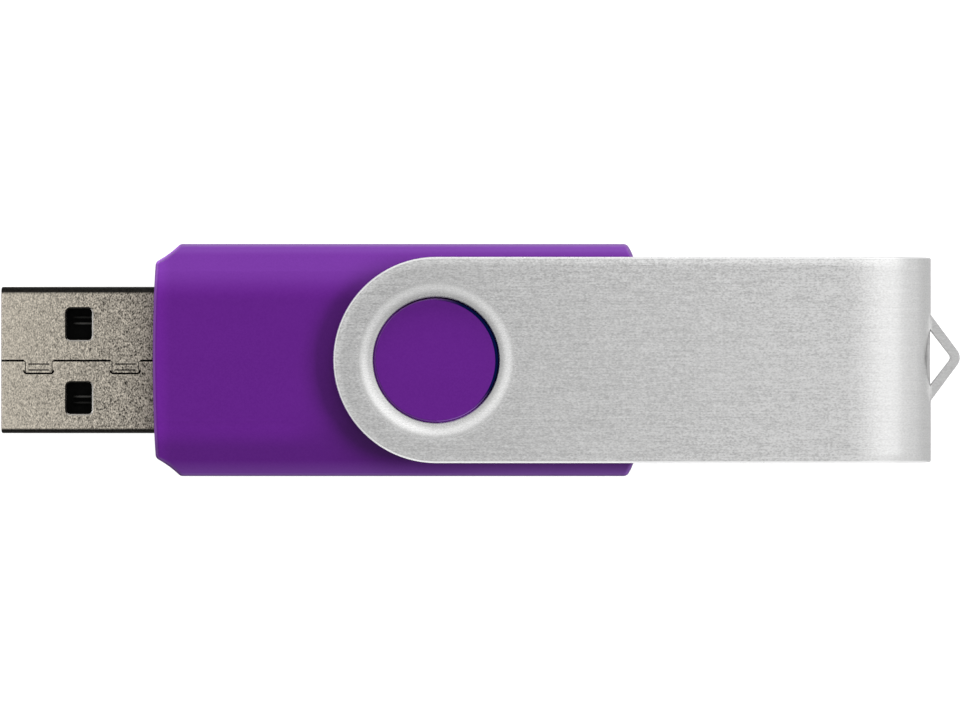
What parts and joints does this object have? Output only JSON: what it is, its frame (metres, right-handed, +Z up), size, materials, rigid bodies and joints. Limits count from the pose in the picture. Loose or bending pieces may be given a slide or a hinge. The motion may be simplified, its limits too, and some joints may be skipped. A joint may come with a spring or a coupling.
{
  "type": "usb flash drive",
  "caption": "USB flash drive with a crowned plastic case, an exposed USB-A plug, and a folded metal cover that swivels round a round boss and ends in a lanyard loop.",
  "frame": {"origin": "centre of the plug's open end, on the mid-plane of the drive", "axes": "+X from the plug's mouth to the far end of the opened cover, along the plug's centre line; +Y across the width; +Z up, out of the plug face that carries the seam"},
  "size_m": [0.0786, 0.019, 0.01],
  "materials": {
    "case_plastic": "soft satin moulded plastic, purple",
    "cover_metal": "fine lengthwise brushed, clear anodised",
    "plug_metal": "nickel plated, finely pebbled",
    "insulator_plastic": "black moulded",
    "contact_metal": "gold plated",
    "board_laminate": "green solder mask over glass fibre",
    "chip_plastic": "moulded epoxy",
    "tin_plate": "tin plated",
    "crystal_metal": "satin nickel",
    "ceramic_white": "glazed ceramic",
    "ceramic_tan": "fired ceramic",
    "resistor_black": "glazed black",
    "led_epoxy": "water-clear epoxy",
    "solder": "bright solder"
  },
  "bodies": {
    "drive": {"activity_led": "led_epoxy", "capacitor_terminals": "tin_plate", "ceramic_capacitors": "ceramic_tan", "chip_resistors": "resistor_black", "circuit_board": "board_laminate", "contact_solder_joints": "solder", "controller_chip": "chip_plastic", "controller_leads": "tin_plate", "crystal_base": "ceramic_white", "crystal_lid": "crystal_metal", "data_minus_contact": "contact_metal", "data_plus_contact": "contact_metal", "ground_contact": "contact_metal", "led_terminals": "tin_plate", "lower_case": "case_plastic", "memory_chip": "chip_plastic", "memory_chip_leads": "tin_plate", "plug_insulator": "insulator_plastic", "plug_shell": "plug_metal", "power_contact": "contact_metal", "resistor_terminals": "tin_plate", "shell_solder_joints": "solder", "upper_case": "case_plastic"},
    "cover": {"swivel_cover": "cover_metal"}
  },
  "joints": [
    {"name": "cover_swivel", "type": "hinge", "parent": "drive", "child": "cover", "pos_m": [0.03564, 0, 0], "axis": [0, 0, 1], "continuous": true}
  ]
}
